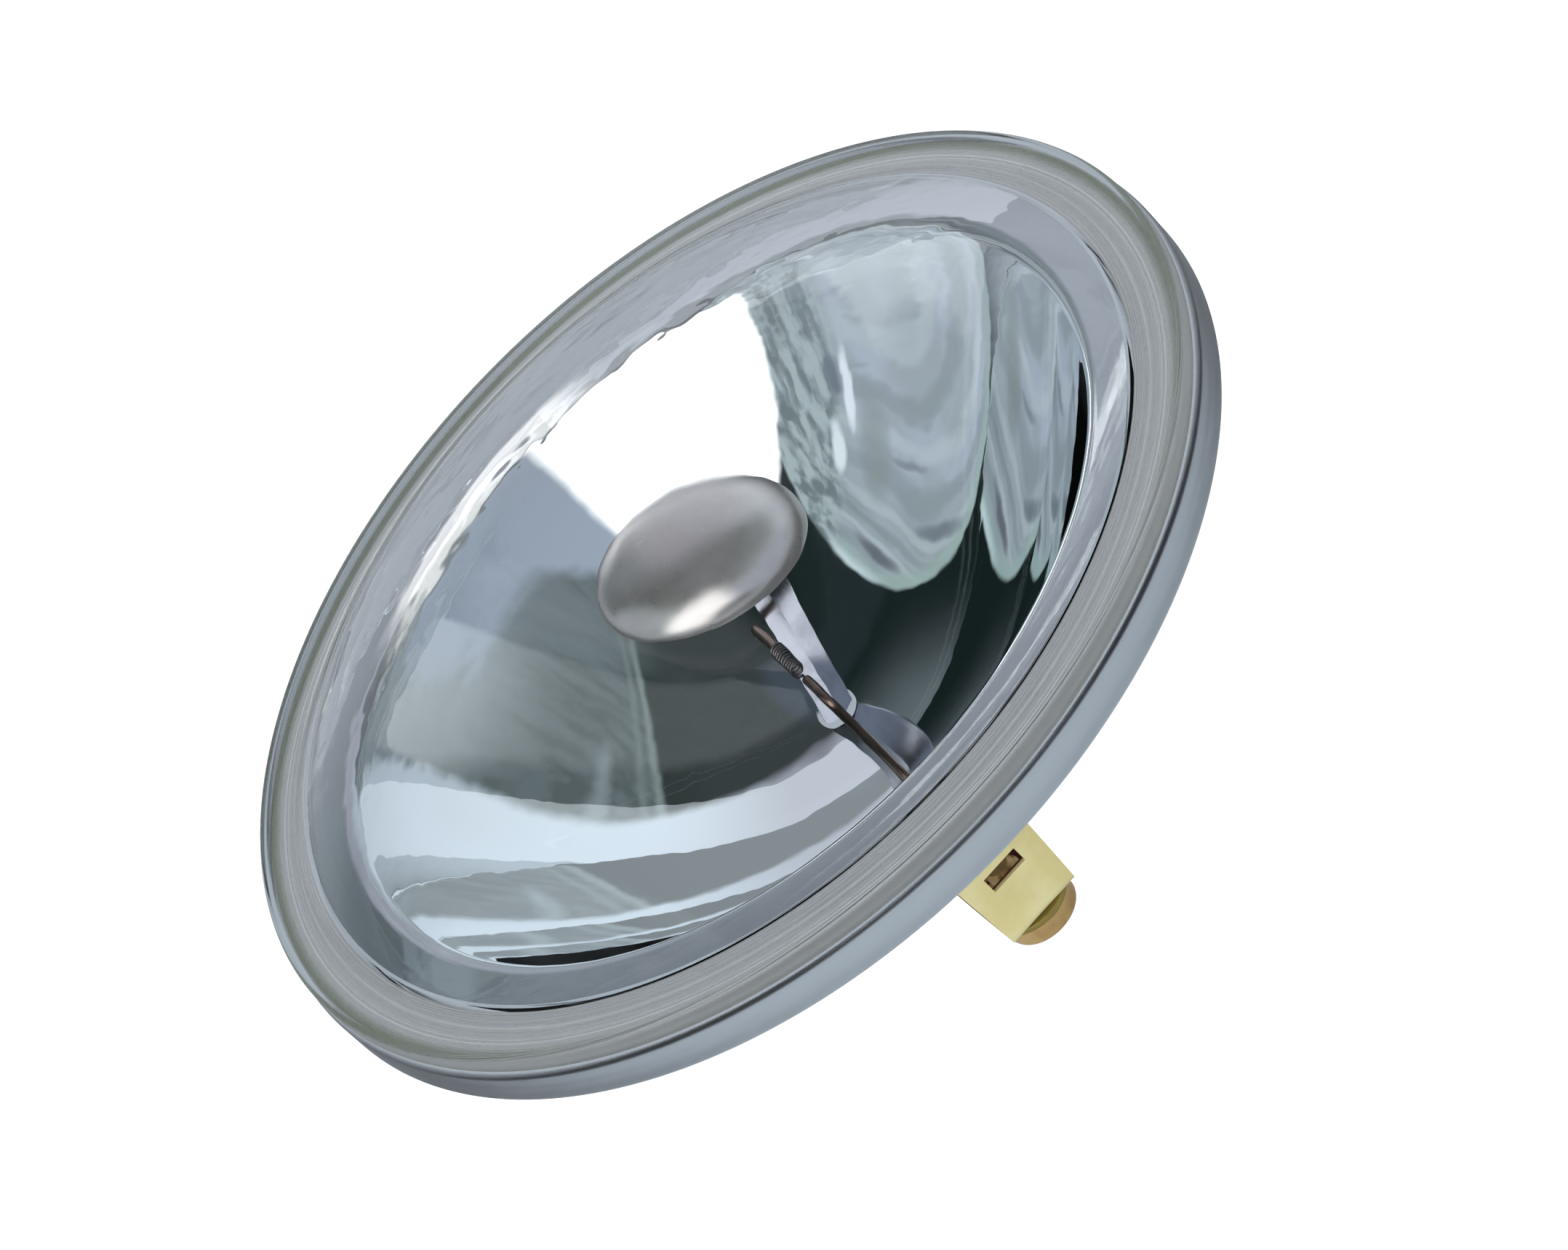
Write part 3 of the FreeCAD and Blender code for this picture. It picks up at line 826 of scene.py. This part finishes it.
# %% Lay the mirror film
mirror_film, sheet = material("aluminium film")
place = sheet.place()
waves = sheet.noise(place, 60.0, 1.0) + 0.2 * sheet.noise(place, 220.0, 2.0)
haze = sheet.noise(place, 140.0, 4.0, 0.6).rise(0.45, 0.8)
inputs = {
    "Base Color": tone(243, 245, 247),
    "Metallic": 1.0,
    "Roughness": 0.012 + haze * 0.03,
    "Normal": sheet.bump(waves, 0.05, 0.001),
}
sheet.finish(sheet.node("ShaderNodeBsdfPrincipled", inputs=inputs))

# %% [markdown]
# ## Satin and drawn metals
# The shield is spun and then blasted, so it is satin with a fine even grain. The arm and
# the leads are rolled or drawn nickel with lines along them, and the leads have browned a
# little in the heat of brazing. One function makes them all, from two colours, a roughness
# and the way their lines run. Where a piece needs one more colour on top, a function of
# its own is handed in and lays it over the rest.


# %% Mix the metals
def metal_finish(
    name, dark, pale, rough, metallic=1.0, lines=(1, 1, 1), scale=900.0, relief=0.1, over=None
):
    made, sheet = material(name)
    place = sheet.place()
    grain = sheet.noise(sheet.stretched(place, lines), scale, 4.0, 0.6)
    patches = sheet.noise(place, 180.0, 3.0, 0.55)
    colour = sheet.blend(patches.rise(0.3, 0.7) * 0.6 + grain * 0.4, dark, pale)
    inputs = {
        "Base Color": over(sheet, colour) if over else colour,
        "Metallic": metallic,
        "Roughness": rough + (grain - 0.5) * 0.16,
        "Normal": sheet.bump(grain, relief, 0.0001),
    }
    sheet.finish(sheet.node("ShaderNodeBsdfPrincipled", inputs=inputs))
    return made


shield_metal = metal_finish("satin shield", tone(226, 218, 216), tone(246, 240, 238), 0.3, 0.8)
ALONG = (1, 1, 0.1)
arm_nickel = metal_finish(
    "rolled nickel", tone(140, 140, 150), tone(184, 184, 194), 0.24, lines=ALONG)
lead_nickel = metal_finish(
    "browned wire", tone(136, 108, 96), tone(190, 172, 160), 0.3, lines=ALONG)
tungsten_wire = metal_finish("drawn tungsten", tone(120, 114, 114), tone(160, 154, 154), 0.34)
ferrule_metal = metal_finish("oxidised thimble", tone(120, 116, 108), tone(160, 154, 146), 0.42)
solder_metal = metal_finish(
    "dull solder", tone(160, 162, 164), tone(200, 202, 204), 0.38, scale=500.0, relief=0.4)

# %% [markdown]
# ## Brass
# The terminals are pale, nearly cream brass with a soft sheen. Screws and washers are
# the usual yellow alloy and have browned. Much of what one sees of old brass is a thin
# dull skin, so these are only partly metallic. The inside of each box, which the window
# looks in on, is painted dark red brown as its shade. That colour goes over the brass by
# a mask, which is 1 between the outer and the inner wall and between the two folds.


# %% Paint shade inside the boxes
def painted_inside_shade(sheet, colour):
    # Painted shade: between the walls and the folds the brass is coloured dark red brown.
    across, along, up = sheet.axes(sheet.place())
    depth = (along * math.cos(ASKEW) - across * math.sin(ASKEW)).size()
    mask = (1.0 - depth.rise(0.0131, 0.01335)) * depth.rise(0.0052, 0.0056)
    mask = mask * up.rise((REAR + 0.3) * MM, (REAR + 0.8) * MM)
    mask = mask * (1.0 - up.rise((FOOT - 0.8) * MM, (FOOT - 0.3) * MM))
    return sheet.blend(mask, colour, tone(96, 46, 32))


# %% Mix the brass
terminal_brass = metal_finish(
    "pale brass",
    tone(230, 216, 146),
    tone(250, 240, 184),
    0.42,
    0.3,
    lines=(1, 1, 0.2),
    scale=700.0,
    over=painted_inside_shade,
)
washer_brass = metal_finish("olive brass", tone(128, 112, 52), tone(172, 152, 84), 0.4, 0.6)
screw_brass = metal_finish(
    "browned brass", tone(166, 128, 76), tone(222, 190, 128), 0.34, 0.6, lines=(1, 1, 0.2))

# %% Put each finish on its pieces
FINISHES = {
    "lens_glass": lens_glass,
    "bowl_glass": bowl_glass,
    "seam": seam,
    "mirror_film": mirror_film,
    "shield_metal": shield_metal,
    "arm_nickel": arm_nickel,
    "lead_nickel": lead_nickel,
    "tungsten_wire": tungsten_wire,
    "ferrule_metal": ferrule_metal,
    "solder_metal": solder_metal,
    "terminal_brass": terminal_brass,
    "washer_brass": washer_brass,
    "screw_brass": screw_brass,
}
slot_of = {part["node"]: part["material_slot"] for part in frame["record"]["subparts"]}
for name, node in frame["nodes"].items():
    node.data.materials.clear()
    node.data.materials.append(FINISHES[slot_of[name]])
for piece in list(bpy.context.scene.objects):
    if piece.type == "MESH" and "finish" in piece:
        piece.data.materials.clear()
        piece.data.materials.append(FINISHES[piece["finish"]])
print("finishes", len(FINISHES))

# %% [markdown]
# ## The floor
# A wide pale floor lies well below the lamp. The camera sees it a little lighter than it
# is lit, so that it runs into the white background. The lamp's shadow on it is lost in
# that white.

# %% Lay the floor
PAPER = tone(166, 173, 182)

bm = bmesh.new()
below = Matrix.Translation((0, 0, -0.3))
bmesh.ops.create_grid(bm, x_segments=1, y_segments=1, size=4.0, matrix=below)
mesh = bpy.data.meshes.new("floor")
bm.to_mesh(mesh)
bm.free()
floor = bpy.data.objects.new("floor", mesh)
bpy.context.scene.collection.objects.link(floor)
paper, sheet = material("white paper")
seen = sheet.node("ShaderNodeLightPath", output="Is Camera Ray")
inputs = {
    "Base Color": sheet.blend(seen, PAPER, (0.86, 0.86, 0.86, 1)),
    "Roughness": 0.9,
    "Emission Color": sheet.blend(seen, (0, 0, 0, 1), (1, 1, 1, 1)),
    "Emission Strength": 0.3,
}
sheet.finish(sheet.node("ShaderNodeBsdfPrincipled", inputs=inputs))
mesh.materials.append(paper)

# %% [markdown]
# ## The studio
# A mirror shows the room more than itself, so the room matters more here than any
# material. It is drawn on the world by direction: a dark ceiling, a bright panel low
# behind the camera, a grey wall on the left, a lighter one far behind, and pale paper all
# round below. Its edges and colours follow what the mirror of the lamp in the photo shows,
# so this room is no plain studio, and its panel and doorway are brighter than white. Matt
# surfaces see an even pale light instead, and the camera sees plain white.

# %% Draw the room on the world
world = bpy.data.worlds.new("studio")
bpy.context.scene.world = world
world.use_nodes = True
sheet = Sheet(world.node_tree)
place = sheet.place("Generated")
across, along, up = sheet.axes(place)


def glow(red, green, blue):
    """A colour of the room, made up for what mirror and lens swallow."""
    return tone(red, green, blue, 1.25)


def spot(x, y, wide, high):
    """1 in the middle of a soft oval, 0 outside."""
    far = ((across - x) / wide) ** 2.0 + ((along - y) / high) ** 2.0
    return 1.0 - far.rise(0.0, 1.0)


def streak(value, middle, half):
    return 1.0 - (value - middle).size().rise(0.0, half)


# %% Dark ceiling, lighter towards the right
fade = along.rise(0.3, 0.85) * across.rise(-0.58, -0.2)
room = sheet.blend(fade, glow(18, 29, 29), glow(94, 102, 106))
room = sheet.blend(across.rise(-0.1, 0.1), room, glow(56, 61, 62))
room = sheet.blend(spot(0.08, 0.15, 0.12, 0.25) * 0.7, room, glow(70, 78, 90))

# %% Curved batten and the wall right of it
bend = across - (0.565 + 0.4 * along - 0.5 * along * along)
scratches = sheet.noise(sheet.stretched(place, (1, 0.2, 0.2)), 40.0, 2.0)
lath = sheet.blend(scratches.rise(0.35, 0.65), glow(86, 94, 96), glow(99, 108, 110))
room = sheet.blend(bend.rise(-0.14, -0.03) * 0.6, room, glow(46, 54, 52))
room = sheet.blend(bend.rise(-0.012, 0.012), room, lath)
room = sheet.blend(streak(bend, 0.006, 0.014) * 0.8, room, glow(128, 138, 138))
room = sheet.blend(streak(bend, 0.034, 0.012) * 0.5, room, glow(124, 134, 134))
shine = streak(bend, 0.095, 0.02) * along.rise(0.0, 0.2) * 0.7
room = sheet.blend(shine, room, glow(136, 146, 150))
room = sheet.blend(bend.rise(0.17, 0.3), room, glow(146, 154, 158))
near_part = (1.0 - along.rise(-0.42, -0.16)) * 0.8 * across.rise(0.3, 0.45)
room = sheet.blend(near_part, room, glow(116, 124, 128))

# %% Pale far wall
top_edge = 0.48 - 8.0 * ((across - 0.68).most(0.0) ** 2.0)
far_wall = sheet.blend(across.rise(0.3, 0.68), glow(150, 152, 162), glow(186, 196, 206))
far_wall = sheet.blend(spot(0.16, 0.52, 0.14, 0.05) * 0.6, far_wall, glow(112, 114, 122))
far_part = (along - top_edge).rise(-0.02, 0.05) * across.rise(-0.14, 0.08)
room = sheet.blend(far_part, room, far_wall)

# %% Light from the near right
rising = (across - 0.4).most(0.0)
near_edge = along + 0.5 - 0.36 * across.most(0.4) + 0.144 - 1.6 * rising * rising
room = sheet.blend(1.0 - near_edge.rise(-0.02, 0.02), room, glow(154, 163, 178))

# %% Left wall with its curtain folds
edge = -0.462 - 0.4 * (along.most(0.0) ** 2.0) - 1.2 * ((-0.03 - along).most(0.0) ** 2.0)
edge = edge - 4.0 * ((along - 0.58).most(0.0) ** 2.0)
inside = across - edge
folds = sheet.noise(sheet.stretched(place, (1, 0.1, 0.3)), 22.0, 3.0)
wall = sheet.blend(across.rise(-0.74, -0.62), glow(166, 174, 187), glow(138, 148, 152))
wall = sheet.blend(folds.rise(0.35, 0.6), wall, glow(154, 163, 170))
drift = sheet.noise(sheet.stretched(place, (1, 0.35, 0.3)), 5.0, 1.0)
creases = (across * 70.0 + drift * 12.0).wave()
wall = sheet.blend(creases.rise(0.35, 1.0) * 0.45, wall, glow(118, 128, 132))
wall = sheet.blend((0.0 - creases).rise(0.5, 1.0) * 0.35, wall, glow(190, 200, 204))
wall = sheet.blend(inside.rise(-0.07, -0.02) * 0.8, wall, glow(150, 170, 166))
rim = inside.rise(-0.04, -0.01) * (1.0 - along.rise(0.05, 0.3)) * 0.9
wall = sheet.blend(rim, wall, glow(196, 210, 212))

# %% Spots and ripples on the left wall
wall = sheet.blend(spot(-0.55, 0.18, 0.022, 0.16) * 0.9, wall, glow(90, 94, 102))
wall = sheet.blend(spot(-0.648, 0.48, 0.02, 0.16) * 0.8, wall, glow(100, 110, 118))
wall = sheet.blend(spot(-0.74, 0.28, 0.008, 0.12) * 0.6, wall, glow(110, 118, 124))
wall = sheet.blend(spot(-0.73, 0.11, 0.09, 0.1) * 0.8, wall, glow(132, 140, 140))
ripple = sheet.noise(sheet.stretched(place, (1, 0.6, 0.5)), 30.0, 3.0)
rippled = sheet.blend(ripple.rise(0.38, 0.62), glow(104, 116, 118), glow(162, 174, 176))
wall = sheet.blend(1.0 - along.rise(-0.1, 0.0), wall, rippled)
wall = sheet.blend(spot(-0.68, -0.06, 0.05, 0.035) * 1.2, wall, glow(214, 222, 226))
wall = sheet.blend(spot(-0.77, 0.0, 0.05, 0.03) * 1.2, wall, glow(220, 226, 234))
wall = sheet.blend(spot(-0.77, -0.06, 0.02, 0.03), wall, glow(100, 110, 122))
room = sheet.blend(1.0 - inside.rise(-0.012, 0.004), room, wall)

# %% White panel low behind the camera
panel = (1.0 - (along + 0.285).rise(-0.012, 0.012)) * (1.0 - across.rise(0.08, 0.14))
room = sheet.blend(panel, room, (2.0, 2.0, 2.0, 1))
room = sheet.blend(1.0 - along.rise(-0.9, -0.82), room, glow(36, 44, 46))

# %% Pale paper all round below, with a lit doorway far behind
room = sheet.blend(1.0 - up.rise(0.05, 0.25), room, PAPER)
door = streak(up, 0.09, 0.05) * streak(across, -0.09, 0.17) * along.rise(0.8, 0.9)
room = sheet.blend((door * 3.0).least(1.0), room, (3.5, 3.5, 3.5, 1))

# %% The room for each kind of ray
EVEN = (0.95, 0.95, 0.95, 1)

path = world.node_tree.nodes.new("ShaderNodeLightPath")
seen = Wire(sheet, path.outputs["Is Camera Ray"])
matt = Wire(sheet, path.outputs["Diffuse Depth"]).rise(0.0, 0.5)
room = sheet.blend(matt, room, EVEN)
room = sheet.blend(seen, room, (1, 1, 1, 1))
background = sheet.node("ShaderNodeBackground", inputs={"Color": room, "Strength": 1.0})
print("room of", len(sheet.tree.nodes), "nodes")
out = world.node_tree.nodes.new("ShaderNodeOutputWorld")
world.node_tree.links.new(background.socket, out.inputs["Surface"])

# %% A soft lamp for the matt pieces
soft = bpy.data.lights.new("soft box", "AREA")
soft.shape = "SQUARE"
soft.size = 0.8
soft.energy = 6.0
soft_box = bpy.data.objects.new("soft box", soft)
soft_box.location = (-0.5, -0.9, 0.7)
soft_box.rotation_euler = (-soft_box.location).to_track_quat("-Z", "Y").to_euler()
soft_box.visible_glossy = False
soft_box.visible_transmission = False
bpy.context.scene.collection.objects.link(soft_box)

# %% [markdown]
# ## A card for the double reflection
# Along the near edge one sees the far edge of the mirror in the mirror, and through it
# whatever stands right behind the glass there. The room is too far off to reach that
# band, so a small white card does, as photographers hold one beside glass. Only mirror,
# metal and glass show it: camera and matt surfaces don't see it.

# %% Hold a white card close behind the far edge
CARD_GLOW = 0.3

card = bpy.data.lights.new("white card", "AREA")
card.shape = "RECTANGLE"
card.size = 0.06
card.size_y = 0.05
card.color = (0.93, 0.96, 1.0)
card.energy = math.pi * card.size * card.size_y * CARD_GLOW
white_card = bpy.data.objects.new("white card", card)
white_card.location = (0.03, 0.0655, 0.022)
white_card.visible_camera = False
white_card.visible_diffuse = False
bpy.context.scene.collection.objects.link(white_card)
print("card", round(card.energy, 5), "W")

# %% [markdown]
# ## The camera
# The picture looks at the lamp from 600 mm, 55.5 degrees off its beam, with the camera
# rolled so that the near terminal points down to the right. The three directions of the
# camera are written as the columns of its matrix.

# %% Aim the camera
off_axis = math.radians(55.5)
DISTANCE = 0.6
PHOTO_WIDE = 2156
roll_cos, roll_sin = 0.7007, 0.7135
side_way = Vector((1, 0, 0))
down_way = Vector((0, -math.cos(off_axis), -math.sin(off_axis)))
back = Vector((0, -math.sin(off_axis), math.cos(off_axis)))
right = side_way * roll_cos + down_way * roll_sin
above = side_way * roll_sin - down_way * roll_cos
lens_data = bpy.data.cameras.new("camera")
lens_data.lens = 139.96
lens_data.sensor_width = 36
lens_data.shift_x = 92.5 / PHOTO_WIDE
lens_data.shift_y = -46.4 / PHOTO_WIDE
lens_data.clip_start = 0.01
camera = bpy.data.objects.new("camera", lens_data)
turned = Matrix((right, above, back)).transposed().to_4x4()
camera.matrix_world = Matrix.Translation(back * DISTANCE) @ turned
bpy.context.scene.collection.objects.link(camera)
bpy.context.scene.camera = camera
bpy.context.scene.view_settings.view_transform = "Standard"
